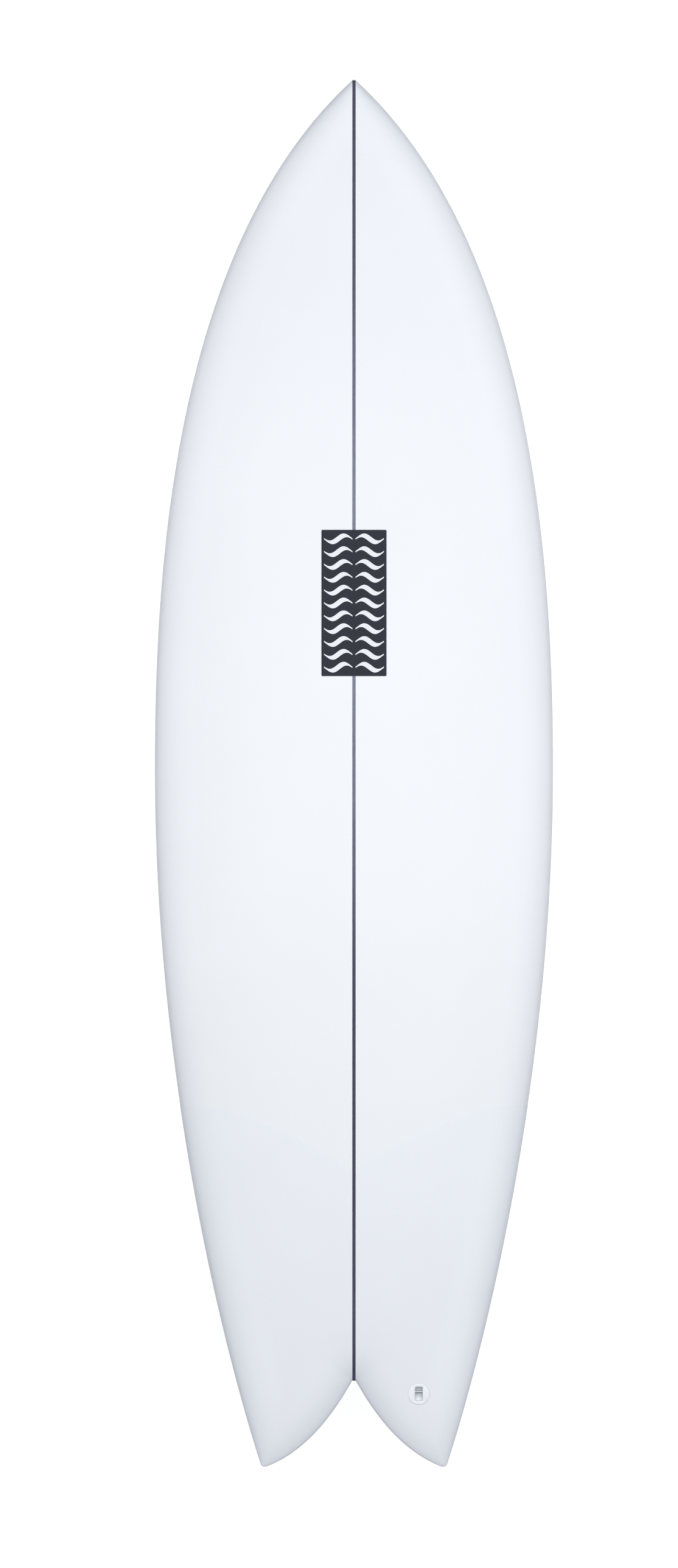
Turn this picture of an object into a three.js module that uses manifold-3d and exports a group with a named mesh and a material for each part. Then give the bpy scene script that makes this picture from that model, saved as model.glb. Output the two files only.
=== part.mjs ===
// A swallow-tail shortboard with two removable keel fins.
// It lies deck up, resting on its fin tips and its belly.
// Units are millimetres. +Y points to the nose and +Z points up.
// The board is shaped level, with y = 0 at the tail tips, and tipped into its rest last.

import * as THREE from 'three';
import { mergeVertices } from 'three/addons/utils/BufferGeometryUtils.js';
import Module from 'manifold-3d';

const wasm = await Module();
wasm.setup();

const radians = THREE.MathUtils.degToRad;
const lerp = THREE.MathUtils.lerp;
const clamp = THREE.MathUtils.clamp;

// Plan shape
const LENGTH = 1778;
const HALF_WIDTH = 256.2;
const WIDE_POINT = 895;
const NOSE_TIP_HALF = 2.2;
const NOSE_ANGLE = radians(47.8);
const NOSE_PULL = 320;
const WIDE_PULL_FORWARD = 234;
const WIDE_PULL_BACK = 482;
const TAIL_HALF = 118.6;
const TAIL_ANGLE = radians(19.2);
const TAIL_PULL = 21;
const TIP_ROUND = 3.2;

// Swallow tail
const NOTCH_DEPTH = 110;
const NOTCH_END_HALF = 2.5;
const NOTCH_END_RISE = 0.8;
const NOTCH_TIP_HALF = 112.6;
const NOTCH_BOW_X = 50;
const NOTCH_BOW_Y = 24;
const NOTCH_ROLL = 22;
const NOTCH_ROLL_POWER = 1.1;
const NOTCH_ROLL_DROP = 0.8;

// Side shape
const FLAT_START = 760;
const FLAT_END = 960;
const NOSE_ROCKER = 118;
const TAIL_ROCKER = 44;
const THICKNESS = 63.5;
const THICK_POINT = 930;
const NOSE_THICKNESS = 18;
const TAIL_THICKNESS = 12;

// Section shape, from tail to nose
const RAIL_HEIGHT = { tail: 0.3, middle: 0.42, nose: 0.36 };
const DECK_CROWN = { tail: 3.2, middle: 2.8, nose: 2.0 };
const BOTTOM_FLATNESS = { tail: 26, middle: 13, nose: 8 };
const DECK_SEGMENTS = 8;
const BOTTOM_SEGMENTS = 6;

// Layers
const GAP = 0.3;
const SKIN = 0.8;
const CORE_INSET = SKIN + GAP;
const STRINGER_HALF = 2;
const PATCH_THICKNESS = 0.25;
const PATCH_EDGE_AT_RAIL = 464;
const PATCH_EDGE_AT_CENTRE = 380;
const PATCH_EDGE_HALF = 203;
const DECAL_THICKNESS = 0.2;
const DECAL_WIDTH = 83.6;
const DECAL_LENGTH = 187.8;
const DECAL_Y = LENGTH - 669;
const DECAL_CORNER = 1.5;

// Leash plug
const PLUG_X = 83.3;
const PLUG_Y = 93.6;
const PLUG_RIM_RADIUS = 13.9;
const PLUG_RIM_THICKNESS = 2;
const PLUG_BODY_RADIUS = 12.2;
const PLUG_DEPTH = 15.5;
const PLUG_SLOT_WIDTH = 9.9;
const PLUG_SLOT_LENGTH = 18.1;
const PLUG_SLOT_CORNER = 2.2;
const PLUG_SLOT_DEPTH = 12.5;
const PIN_RADIUS = 1.5;
const PIN_LENGTH = 17.9;
const PIN_Y = 2.4;
const PIN_DEPTH = 4.3;

// Fins, fin boxes and grub screws, in a frame at the middle of the fin box
const FIN_X = 128;
const FIN_Y = 266;
const FIN_TOE = radians(2);
const FIN_CANT = radians(5);
const FIN_ROOT = 9.5;
const FIN_TIP = 3;
const FIN_OUTER_SHARE = 0.6;
const TAB_LENGTH = 140;
const TAB_WIDTH = 6;
const TAB_DEPTH = 14;
const BOX_LENGTH = 168;
const BOX_WIDTH = 30;
const BOX_DEPTH = 20;
const SCREW_RADIUS = 2.4;
const SCREW_X = -10;
const SCREW_Y = 45;
const SCREW_LEAN = radians(30);
const SCREW_START = 1;
const SCREW_END = 9;
const SOCKET_RADIUS = 1.4;
const SOCKET_DEPTH = 2.6;
const PROUD = 6;

// Smallest step that a cut may leave
const SLIVER = 0.01;

const point = (x, y) => new THREE.Vector2(x, y);

// Half the plan outline, x against y, from the tail tip to the widest point and on to the nose.
const aftOutline = new THREE.CubicBezierCurve(
  point(TAIL_HALF, 0),
  point(TAIL_HALF + TAIL_PULL * Math.sin(TAIL_ANGLE), TAIL_PULL * Math.cos(TAIL_ANGLE)),
  point(HALF_WIDTH, WIDE_POINT - WIDE_PULL_BACK),
  point(HALF_WIDTH, WIDE_POINT),
);
const foreOutline = new THREE.CubicBezierCurve(
  point(HALF_WIDTH, WIDE_POINT),
  point(HALF_WIDTH, WIDE_POINT + WIDE_PULL_FORWARD),
  point(
    NOSE_TIP_HALF + NOSE_PULL * Math.sin(NOSE_ANGLE),
    LENGTH - NOSE_PULL * Math.cos(NOSE_ANGLE),
  ),
  point(NOSE_TIP_HALF, LENGTH),
);
const notchCurve = new THREE.QuadraticBezierCurve(
  point(NOTCH_TIP_HALF, 0),
  point(NOTCH_BOW_X, NOTCH_BOW_Y),
  point(NOTCH_END_HALF, NOTCH_DEPTH),
);
const notchPoints = notchCurve.getPoints(60);

// The x of a curve at a given y, for a curve whose y only rises.
function crossingX(curve, y) {
  let low = 0;
  let high = 1;
  for (let step = 0; step < 40; step += 1) {
    const middle = (low + high) / 2;
    if (curve.getPoint(middle).y < y) {
      low = middle;
    } else {
      high = middle;
    }
  }
  return curve.getPoint(low).x;
}

function outlineX(y) {
  return crossingX(y < WIDE_POINT ? aftOutline : foreOutline, clamp(y, 0, LENGTH));
}

// Blends a value that is given at the tail, the thickest point and the nose.
function along(values, y) {
  if (y < THICK_POINT) {
    return lerp(values.middle, values.tail, clamp(1 - y / THICK_POINT, 0, 1) ** 2);
  }
  return lerp(values.middle, values.nose, (y - THICK_POINT) / (LENGTH - THICK_POINT));
}

function rocker(y) {
  if (y > FLAT_END) {
    return NOSE_ROCKER * ((y - FLAT_END) / (LENGTH - FLAT_END)) ** 2.4;
  }
  if (y < FLAT_START) {
    return TAIL_ROCKER * ((FLAT_START - y) / FLAT_START) ** 1.9;
  }
  return 0;
}

function thickness(y) {
  const end = y > THICK_POINT ? NOSE_THICKNESS : TAIL_THICKNESS;
  const reach = y > THICK_POINT ? LENGTH - THICK_POINT : THICK_POINT;
  return lerp(THICKNESS, end, (Math.abs(y - THICK_POINT) / reach) ** 2.05);
}

function railZ(y) {
  return rocker(y) + along(RAIL_HEIGHT, y) * thickness(y);
}

// The deck rolls down towards the edge of the notch.
function notchRoll(x, y) {
  const here = point(Math.abs(x), y);
  const distance = Math.min(...notchPoints.map((edge) => edge.distanceTo(here)));
  return 1 - NOTCH_ROLL_DROP * Math.exp(-((distance / NOTCH_ROLL) ** NOTCH_ROLL_POWER));
}

// Outer and inner edge of half a section, inset from the finished surface.
function outerEdge(y, inset) {
  const slope = (outlineX(y + 1) - outlineX(y - 1)) / 2;
  const round = clamp(1 - (y - inset) / TIP_ROUND, 0, 1);
  const roundedOff = TIP_ROUND * (1 - Math.sqrt(1 - round * round));
  return outlineX(y) - inset * Math.hypot(1, slope) - roundedOff;
}

function innerEdge(y, inset) {
  if (y > NOTCH_DEPTH + inset - NOTCH_END_RISE / 2) {
    return 0;
  }
  return crossingX(notchCurve, y - inset) + 0.5 * inset;
}

function deckZ(x, y, inset) {
  const share = Math.abs(x) / outerEdge(y, inset);
  const fall = Math.sqrt(Math.max(0, 1 - share ** along(DECK_CROWN, y)));
  const crown = (1 - along(RAIL_HEIGHT, y)) * thickness(y) * notchRoll(x, y) - inset;
  return railZ(y) + crown * fall;
}

function bottomZ(x, y, inset) {
  const share = Math.abs(x) / outerEdge(y, inset);
  const fall = Math.sqrt(Math.max(0, 1 - share ** along(BOTTOM_FLATNESS, y)));
  return railZ(y) - (along(RAIL_HEIGHT, y) * thickness(y) - inset) * fall;
}

// Steps from 0 to 1 that crowd together towards 1, where the rail is.
function crowdedSteps(count, power) {
  return Array.from({ length: count + 1 }, (_, i) => Math.sin((Math.PI / 2) * (i / count)) ** power);
}

const deckSteps = crowdedSteps(DECK_SEGMENTS, 0.8);
const bottomSteps = crowdedSteps(BOTTOM_SEGMENTS, 0.35);

// Half a section: along the deck to the rail, then back along the bottom.
function halfSection(y, inset) {
  const inner = innerEdge(y, inset);
  const outer = outerEdge(y, inset);
  const deck = deckSteps.map((step) => {
    const x = lerp(inner, outer, step);
    return new THREE.Vector3(x, y, deckZ(x, y, inset));
  });
  const bottom = bottomSteps.slice(0, -1).reverse().map((step) => {
    const x = lerp(inner, outer, step);
    return new THREE.Vector3(x, y, bottomZ(x, y, inset));
  });
  return [...deck, ...bottom];
}

// Places along the board where sections are taken.
function stations(inset) {
  const places = [];
  const lobeCount = 9;
  for (let i = 0; i < lobeCount; i += 1) {
    places.push(inset + (NOTCH_DEPTH - NOTCH_END_RISE) * (i / (lobeCount - 1)) ** 1.7);
  }
  const tailCount = 8;
  for (let i = 0; i < tailCount; i += 1) {
    places.push(lerp(NOTCH_DEPTH + inset, FLAT_START, (i / tailCount) ** 1.2));
  }
  places.push(FLAT_START, (FLAT_START + FLAT_END) / 2, FLAT_END);
  const noseCount = 13;
  for (let i = 1; i <= noseCount; i += 1) {
    places.push(lerp(FLAT_END, LENGTH - inset, 1 - (1 - i / noseCount) ** 1.6));
  }
  return places;
}

// A closed solid through rings of equal point counts, with flat ends.
function loft(rings) {
  const count = rings[0].length;
  const triangles = [];
  for (let ring = 0; ring < rings.length - 1; ring += 1) {
    for (let i = 0; i < count; i += 1) {
      const next = (i + 1) % count;
      const a = ring * count + i;
      const b = ring * count + next;
      triangles.push([a, b, a + count], [b, b + count, a + count]);
    }
  }
  const last = (rings.length - 1) * count;
  for (let i = 1; i < count - 1; i += 1) {
    triangles.push([0, i + 1, i], [last, last + i, last + i + 1]);
  }
  return solidFrom(rings.flat(), triangles);
}

// A closed solid from points and triangles, turned the right way out.
function solidFrom(points, triangles) {
  const volume = triangles.reduce((sum, [a, b, c]) => {
    const across = new THREE.Vector3().crossVectors(points[b], points[c]);
    return sum + points[a].dot(across);
  }, 0);
  const outward = volume > 0 ? triangles : triangles.map(([a, b, c]) => [a, c, b]);
  const mesh = new wasm.Mesh({
    numProp: 3,
    vertProperties: new Float32Array(points.flatMap((p) => [p.x, p.y, p.z])),
    triVerts: new Uint32Array(outward.flat()),
  });
  return new wasm.Manifold(mesh);
}

// A closed solid from a mesh geometry, placed by a matrix.
function solidOf(geometry, matrix = new THREE.Matrix4()) {
  const bare = geometry.clone();
  bare.deleteAttribute('normal');
  bare.deleteAttribute('uv');
  const welded = mergeVertices(bare.applyMatrix4(matrix), 1e-4);
  const mesh = new wasm.Mesh({
    numProp: 3,
    vertProperties: new Float32Array(welded.attributes.position.array),
    triVerts: new Uint32Array(welded.index.array),
  });
  return new wasm.Manifold(mesh);
}

function mirrored(solid) {
  return solid.scale([-1, 1, 1]);
}

function boardBody(inset) {
  const half = loft(stations(inset).map((y) => halfSection(y, inset)));
  return half.add(mirrored(half));
}

function slab(low, high) {
  const size = new THREE.Vector3().subVectors(high, low);
  const centre = new THREE.Vector3().addVectors(low, high).multiplyScalar(0.5);
  const box = new THREE.BoxGeometry(size.x, size.y, size.z);
  return solidOf(box, new THREE.Matrix4().makeTranslation(centre));
}

// A prism of a plan shape, from one height to another.
function prism(shape, low, high, matrix, curveSegments = 6) {
  const geometry = new THREE.ExtrudeGeometry(shape, {
    depth: high - low,
    bevelEnabled: false,
    curveSegments,
  });
  const lift = new THREE.Matrix4().makeTranslation(0, 0, low);
  return solidOf(geometry, new THREE.Matrix4().multiplyMatrices(matrix, lift));
}

function roundedRectangle(width, length, corner) {
  const x = width / 2 - corner;
  const y = length / 2 - corner;
  const shape = new THREE.Shape();
  shape.absarc(x, y, corner, 0, Math.PI / 2);
  shape.absarc(-x, y, corner, Math.PI / 2, Math.PI);
  shape.absarc(-x, -y, corner, Math.PI, Math.PI * 1.5);
  shape.absarc(x, -y, corner, Math.PI * 1.5, Math.PI * 2);
  shape.closePath();
  return shape;
}

// A slot outline with half-round ends, a little short of a full half circle so no edge is lost.
function stadium(width, length) {
  return roundedRectangle(width, length, width / 2 - 0.01);
}

// A round bar from one height to another along the local Z axis.
function bar(radius, low, high, matrix, sides = 28) {
  const geometry = new THREE.CylinderGeometry(radius, radius, high - low, sides);
  const stand = new THREE.Matrix4().makeRotationX(Math.PI / 2);
  const lift = new THREE.Matrix4().makeTranslation(0, 0, (low + high) / 2);
  return solidOf(geometry, new THREE.Matrix4().multiplyMatrices(matrix, lift.multiply(stand)));
}

// Everything below the rail line, moved up or down by an offset.
function belowRail(offset) {
  const reach = HALF_WIDTH + 50;
  const floor = -400;
  const places = [-50, ...stations(0).slice(1, -1), LENGTH + 50];
  return loft(places.map((y) => {
    const top = railZ(clamp(y, 0, LENGTH)) + offset;
    return [
      new THREE.Vector3(-reach, y, floor),
      new THREE.Vector3(reach, y, floor),
      new THREE.Vector3(reach, y, top),
      new THREE.Vector3(-reach, y, top),
    ];
  }));
}

// Everything behind the front edge of the deck patch, grown by a margin.
function patchPlan(margin) {
  const shape = new THREE.Shape();
  const reach = HALF_WIDTH + 50;
  const steps = 16;
  shape.moveTo(reach, -50);
  shape.lineTo(reach, PATCH_EDGE_AT_RAIL + margin);
  for (let i = -steps; i <= steps; i += 1) {
    const share = -i / steps;
    const sweep = (1 - Math.abs(share)) ** 1.5;
    const y = lerp(PATCH_EDGE_AT_RAIL, PATCH_EDGE_AT_CENTRE, sweep) + margin;
    shape.lineTo(PATCH_EDGE_HALF * share, y);
  }
  shape.lineTo(-reach, PATCH_EDGE_AT_RAIL + margin);
  shape.lineTo(-reach, -50);
  shape.closePath();
  return shape;
}

// A frame on a surface: Z along its normal, Y along the board.
function surfaceFrame(height, x, y) {
  const rise = (dx, dy) => height(x + dx, y + dy) - height(x - dx, y - dy);
  const normal = new THREE.Vector3(-rise(1, 0), -rise(0, 1), 2).normalize();
  const across = new THREE.Vector3(0, 1, 0).cross(normal).normalize();
  const forward = new THREE.Vector3().crossVectors(normal, across);
  const frame = new THREE.Matrix4().makeBasis(across, forward, normal);
  return frame.setPosition(x, y, height(x, y));
}

// The right fin's frame: Z up into the board, X outboard, Y along the fin's base.
function finFrame() {
  const pitch = Math.atan2(rocker(FIN_Y + 10) - rocker(FIN_Y - 10), 20);
  const frame = new THREE.Matrix4().makeTranslation(FIN_X, FIN_Y, rocker(FIN_Y));
  frame.multiply(new THREE.Matrix4().makeRotationZ(FIN_TOE));
  frame.multiply(new THREE.Matrix4().makeRotationX(pitch));
  return frame.multiply(new THREE.Matrix4().makeRotationY(-FIN_CANT));
}

// A screw's frame in its fin box: Z into the board, leaning towards the fin's tab.
function screwFrame(base, end) {
  const frame = new THREE.Matrix4().makeTranslation(SCREW_X, end * SCREW_Y, 0);
  frame.multiply(new THREE.Matrix4().makeRotationY(SCREW_LEAN));
  return new THREE.Matrix4().multiplyMatrices(base, frame);
}

// The keel blade, lofted between its leading and trailing edges from root to tip.
function blade(frame) {
  const leading = new THREE.CubicBezierCurve(
    point(104, 2),
    point(70, -66),
    point(-4, -130),
    point(-108, -131.5),
  );
  const trailing = new THREE.CubicBezierCurve(
    point(-106, 2),
    point(-88, -50),
    point(-144, -104),
    point(-119, -129),
  );
  const spanSteps = 10;
  const chordSteps = 8;
  const rings = [];
  for (let span = 0; span <= spanSteps; span += 1) {
    const share = Math.sin((Math.PI / 2) * (span / spanSteps)) ** 1.3;
    const front = leading.getPoint(share);
    const back = trailing.getPoint(share);
    const width = lerp(FIN_ROOT, FIN_TIP, share);
    const ring = [];
    for (let i = 0; i < 2 * chordSteps; i += 1) {
      const chord = (1 - Math.cos((Math.PI * i) / chordSteps)) / 2;
      const side = i < chordSteps ? FIN_OUTER_SHARE : FIN_OUTER_SHARE - 1;
      const swell = 2.49 * Math.sqrt(chord) * (1 - chord) ** 0.9;
      const spot = front.clone().lerp(back, chord);
      ring.push(new THREE.Vector3(side * width * swell, spot.x, spot.y).applyMatrix4(frame));
    }
    rings.push(ring);
  }
  return loft(rings);
}

// The one real body of a cut solid, simplified, without the slivers that a cut leaves.
function tidied(solid) {
  const bodies = solid.simplify(SLIVER).decompose();
  return bodies.reduce((best, body) => (body.volume() > best.volume() ? body : best));
}

const surface = boardBody(0);
const core = boardBody(CORE_INSET);
const shell = surface.subtract(boardBody(SKIN));
const cleared = boardBody(-GAP);

const plugFrame = surfaceFrame((x, y) => deckZ(x, y, 0), PLUG_X, PLUG_Y);
const rightFin = finFrame();

const plugPocket = bar(PLUG_RIM_RADIUS + GAP, -PLUG_RIM_THICKNESS - GAP, PROUD, plugFrame)
  .add(bar(PLUG_BODY_RADIUS + GAP, -PLUG_DEPTH - GAP, 0, plugFrame));
const rightPocket = prism(
  stadium(BOX_WIDTH + 2 * GAP, BOX_LENGTH + 2 * GAP),
  -PROUD,
  BOX_DEPTH + GAP,
  rightFin,
);
const pockets = plugPocket.add(rightPocket).add(mirrored(rightPocket));

function layer(depth) {
  return surface.subtract(boardBody(depth));
}

const level = new THREE.Matrix4();
const deckPlace = new THREE.Matrix4().makeTranslation(0, DECAL_Y, 0);
const decalPlan = (margin) => roundedRectangle(
  DECAL_WIDTH + 2 * margin,
  DECAL_LENGTH + 2 * margin,
  DECAL_CORNER + margin,
);

function deckGlass() {
  const decalRecess = prism(decalPlan(GAP), THICKNESS / 2, THICKNESS * 2, deckPlace, 2)
    .intersect(layer(DECAL_THICKNESS + GAP));
  const patchRecess = prism(patchPlan(GAP), -PROUD, THICKNESS * 3, level)
    .intersect(layer(PATCH_THICKNESS + GAP));
  return shell
    .subtract(belowRail(GAP / 2))
    .subtract(decalRecess)
    .subtract(patchRecess)
    .subtract(pockets);
}

function bottomGlass() {
  return shell.intersect(belowRail(-GAP / 2)).subtract(pockets);
}

function deckPatch() {
  return prism(patchPlan(0), -PROUD, THICKNESS * 3, level)
    .intersect(layer(PATCH_THICKNESS))
    .subtract(belowRail(GAP / 2))
    .subtract(pockets);
}

function decal() {
  return prism(decalPlan(0), THICKNESS / 2, THICKNESS * 2, deckPlace, 2)
    .intersect(layer(DECAL_THICKNESS));
}

function stringer() {
  const low = new THREE.Vector3(-STRINGER_HALF, -50, -100);
  const high = new THREE.Vector3(STRINGER_HALF, LENGTH + 50, 300);
  return core.intersect(slab(low, high));
}

// The right half of the foam blank, with its pockets.
function rightBlank(pocket) {
  const low = new THREE.Vector3(STRINGER_HALF + GAP, -50, -100);
  const high = new THREE.Vector3(HALF_WIDTH + 50, LENGTH + 50, 300);
  return core.intersect(slab(low, high)).subtract(pocket);
}

function leashCup() {
  const outside = bar(PLUG_RIM_RADIUS, -PLUG_RIM_THICKNESS, 0, plugFrame, 36)
    .add(bar(PLUG_BODY_RADIUS, -PLUG_DEPTH, -PLUG_RIM_THICKNESS / 2, plugFrame, 36));
  const slotPlan = roundedRectangle(PLUG_SLOT_WIDTH, PLUG_SLOT_LENGTH, PLUG_SLOT_CORNER);
  return outside
    .subtract(prism(slotPlan, -PLUG_SLOT_DEPTH, PROUD, plugFrame, 4))
    .subtract(bar(PIN_RADIUS + GAP, -PIN_LENGTH / 2 - GAP, PIN_LENGTH / 2 + GAP, pinFrame(), 20));
}

// The pin's frame in the leash plug, with Z across the board.
function pinFrame() {
  const frame = new THREE.Matrix4().makeTranslation(0, PIN_Y, -PIN_DEPTH);
  frame.multiply(new THREE.Matrix4().makeRotationY(Math.PI / 2));
  return new THREE.Matrix4().multiplyMatrices(plugFrame, frame);
}

function finBox() {
  const slot = prism(
    stadium(TAB_WIDTH + 2 * GAP, TAB_LENGTH + 2 * GAP),
    -PROUD,
    TAB_DEPTH + GAP,
    rightFin,
  );
  const block = prism(stadium(BOX_WIDTH, BOX_LENGTH), -PROUD, BOX_DEPTH, rightFin)
    .intersect(surface)
    .subtract(slot);
  return [-1, 1].reduce((rest, end) => {
    const frame = screwFrame(rightFin, end);
    return rest.subtract(bar(SCREW_RADIUS + GAP, -PROUD, SCREW_END + GAP, frame, 20));
  }, block);
}

function fin() {
  return blade(rightFin)
    .subtract(cleared)
    .add(prism(stadium(TAB_WIDTH, TAB_LENGTH), -1.2, TAB_DEPTH, rightFin));
}

function grubScrew(end) {
  const frame = screwFrame(rightFin, end);
  const socketEnd = SCREW_START + SOCKET_DEPTH;
  return bar(SCREW_RADIUS, SCREW_START, SCREW_END, frame, 20)
    .subtract(bar(SOCKET_RADIUS, SCREW_START - 1, socketEnd, frame, 6));
}

const rightParts = {
  fin_box: finBox(),
  fin: fin(),
  fin_screw_aft: grubScrew(-1),
  fin_screw_fore: grubScrew(1),
};

const parts = {
  blank_left: mirrored(rightBlank(rightPocket)),
  blank_right: rightBlank(rightPocket.add(plugPocket)),
  stringer: stringer(),
  deck_glass: deckGlass(),
  bottom_glass: bottomGlass(),
  deck_patch: deckPatch(),
  logo_decal: decal(),
  leash_cup: leashCup(),
  leash_pin: bar(PIN_RADIUS, -PIN_LENGTH / 2, PIN_LENGTH / 2, pinFrame(), 20),
};
for (const [name, solid] of Object.entries(rightParts)) {
  parts[`${name}_right`] = solid;
  parts[`${name}_left`] = mirrored(solid);
}
for (const [name, solid] of Object.entries(parts)) {
  parts[name] = tidied(solid);
}

// How the board lies: tipped nose down until the fin tips and the belly share one level.
function lowestWhenTipped(solid, tip) {
  const { vertProperties } = solid.getMesh();
  let lowest = Infinity;
  for (let i = 0; i < vertProperties.length; i += 3) {
    const z = vertProperties[i + 2] * Math.cos(tip) - vertProperties[i + 1] * Math.sin(tip);
    lowest = Math.min(lowest, z);
  }
  return lowest;
}

function restTip() {
  let low = 0;
  let high = radians(20);
  for (let step = 0; step < 50; step += 1) {
    const tip = (low + high) / 2;
    const finsLower = lowestWhenTipped(parts.fin_right, tip) < lowestWhenTipped(parts.bottom_glass, tip);
    if (finsLower) {
      low = tip;
    } else {
      high = tip;
    }
  }
  return low;
}

const FINISH = {
  foam: { color: 0xf4f5f2, roughness: 0.85 },
  resin: { color: 0xf3f5f8, roughness: 0.12 },
  cloth: { color: 0xe9edf1, roughness: 0.2 },
  wood: { color: 0x5b5560, roughness: 0.6 },
  print: { color: 0x363c48, roughness: 0.3 },
  moulding: { color: 0xeceff2, roughness: 0.4 },
  composite: { color: 0x2f3338, roughness: 0.35 },
  steel: { color: 0xb9bcc0, roughness: 0.35, metalness: 1 },
};

const FINISH_OF = {
  blank_left: 'foam',
  blank_right: 'foam',
  stringer: 'wood',
  deck_glass: 'resin',
  bottom_glass: 'resin',
  deck_patch: 'cloth',
  logo_decal: 'print',
  leash_cup: 'moulding',
  leash_pin: 'steel',
  fin_box_right: 'moulding',
  fin_box_left: 'moulding',
  fin_right: 'composite',
  fin_left: 'composite',
};

function geometryOf(solid) {
  const mesh = solid.getMesh();
  const geometry = new THREE.BufferGeometry();
  geometry.setAttribute('position', new THREE.BufferAttribute(mesh.vertProperties, 3));
  geometry.setIndex(new THREE.BufferAttribute(mesh.triVerts, 1));
  return geometry;
}

function assemble() {
  const group = new THREE.Group();
  group.name = 'swallow_tail_shortboard';
  const tip = new THREE.Matrix4().makeRotationX(-restTip());
  for (const [name, solid] of Object.entries(parts)) {
    const geometry = geometryOf(solid).applyMatrix4(tip);
    const material = new THREE.MeshStandardMaterial(FINISH[FINISH_OF[name] ?? 'steel']);
    const mesh = new THREE.Mesh(geometry, material);
    mesh.name = name;
    group.add(mesh);
  }
  const box = new THREE.Box3().setFromObject(group);
  const middle = box.getCenter(new THREE.Vector3());
  for (const mesh of group.children) {
    mesh.geometry.translate(-middle.x, -middle.y, -box.min.z);
    mesh.geometry.computeVertexNormals();
  }
  return group;
}

export default assemble();
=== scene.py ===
import math

import bmesh
import bpy
import numpy as np
from mathutils import Matrix, Vector


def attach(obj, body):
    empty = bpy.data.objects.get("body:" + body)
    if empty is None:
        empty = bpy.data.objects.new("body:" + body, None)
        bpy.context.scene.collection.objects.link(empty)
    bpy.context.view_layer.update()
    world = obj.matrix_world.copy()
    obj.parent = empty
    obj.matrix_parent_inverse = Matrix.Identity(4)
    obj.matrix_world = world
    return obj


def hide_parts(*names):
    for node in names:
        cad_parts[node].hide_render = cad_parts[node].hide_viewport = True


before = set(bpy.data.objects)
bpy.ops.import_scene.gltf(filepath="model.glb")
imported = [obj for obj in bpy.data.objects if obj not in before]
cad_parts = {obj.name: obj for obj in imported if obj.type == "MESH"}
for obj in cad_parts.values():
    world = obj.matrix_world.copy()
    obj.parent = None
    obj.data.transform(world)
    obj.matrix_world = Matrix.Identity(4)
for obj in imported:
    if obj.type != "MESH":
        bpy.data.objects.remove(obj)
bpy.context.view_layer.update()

# Plan shape
LENGTH = 1778.0
HALF_WIDTH = 256.2
WIDE_POINT = 895.0
NOSE_TIP_HALF = 2.2
NOSE_ANGLE = math.radians(47.8)
NOSE_PULL = 320.0
WIDE_PULL_FORWARD = 234.0
WIDE_PULL_BACK = 482.0
TAIL_HALF = 118.6
TAIL_ANGLE = math.radians(19.2)
TAIL_PULL = 21.0
TIP_ROUND = 3.2

# Swallow tail
NOTCH_DEPTH = 110.0
NOTCH_END_HALF = 2.5
NOTCH_TIP_HALF = 112.6
NOTCH_BOW = (50.0, 24.0)
NOTCH_ROLL = 22.0
NOTCH_ROLL_POWER = 1.1
NOTCH_ROLL_DROP = 0.8
DECK_EDGE_RADIUS = 2.0
BOTTOM_EDGE_RADIUS = 2.5
END_RADIUS = 3.0

# Side shape
FLAT_START = 760.0
FLAT_END = 960.0
NOSE_ROCKER = 118.0
TAIL_ROCKER = 44.0
THICKNESS = 63.5
THICK_POINT = 930.0
NOSE_THICKNESS = 18.0
TAIL_THICKNESS = 12.0

# Section shape: tail, middle and nose
RAIL_HEIGHT = (0.3, 0.42, 0.36)
DECK_CROWN = (3.2, 2.8, 2.0)
BOTTOM_FLATNESS = (26.0, 13.0, 8.0)

# Layers, as depths below the finished surface
LABEL_TOP = 0.06
PATCH_TOP = 0.06
PATCH_UNDER = 0.2
SKIN_TOP = 0.3
SKIN_UNDER = 0.8
FOAM_TOP = 1.1
STRINGER_TOP = 0.2
STRINGER_HALF = 2.1
SLOT_HALF = 2.15

# Details
PATCH_EDGE_AT_RAIL = 464.0
PATCH_EDGE_AT_CENTRE = 380.0
PATCH_EDGE_HALF = 203.0
LABEL_WIDTH = 83.6
LABEL_LENGTH = 187.8
LABEL_Y = LENGTH - 669.0
LABEL_CORNER = 1.5
COLUMN_MIDDLE = 20.2
COLUMN_HALF = 18.2
WAVE_COUNT = 11
WAVE_PITCH = 16.4
WAVE_LENGTH = 36.0
WAVE_SWING = 4.2
WAVE_HALF = 2.35
WAVE_SWELL = 1.55
PLUG = (83.3, 93.6)
PLUG_RIM_RADIUS = 13.9
PLUG_BODY_RADIUS = 12.2
PLUG_DEPTH = 15.5
PLUG_SLOT = (9.9, 18.1, 2.2, 12.5)
PIN_RADIUS = 1.5
PIN_LENGTH = 17.9
PIN_Y = 2.4
PIN_DEPTH = 4.3
FIN_PLACE = (128.0, 266.0)
FIN_TOE = math.radians(2)
FIN_CANT = math.radians(5)
FIN_ROOT = 9.5
FIN_TIP = 3.0
FIN_OUTER_SHARE = 0.6
FIN_LEADING = [(104, 2), (70, -66), (-4, -130), (-108, -131.5)]
FIN_TRAILING = [(-106, 2), (-88, -50), (-144, -104), (-119, -129)]
FIN_SAMPLES = 2000
FIN_CHORDS = 26
FIN_SPANS = 44
FIN_PITCH_STEP = 10
ROOT_GAP = 0.45
TAB = (6.0, 140.0, 14.0)
BOX = (30.0, 168.0, 20.0)
SCREW_RADIUS = 2.4
SCREW_X = -10.0
SCREW_Y = 45.0
SCREW_LEAN = math.radians(30)
SCREW_SPAN = (1.0, 9.0)
SOCKET = (1.4, 2.6)
GAP = 0.3
FITTED = 0.06

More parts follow.
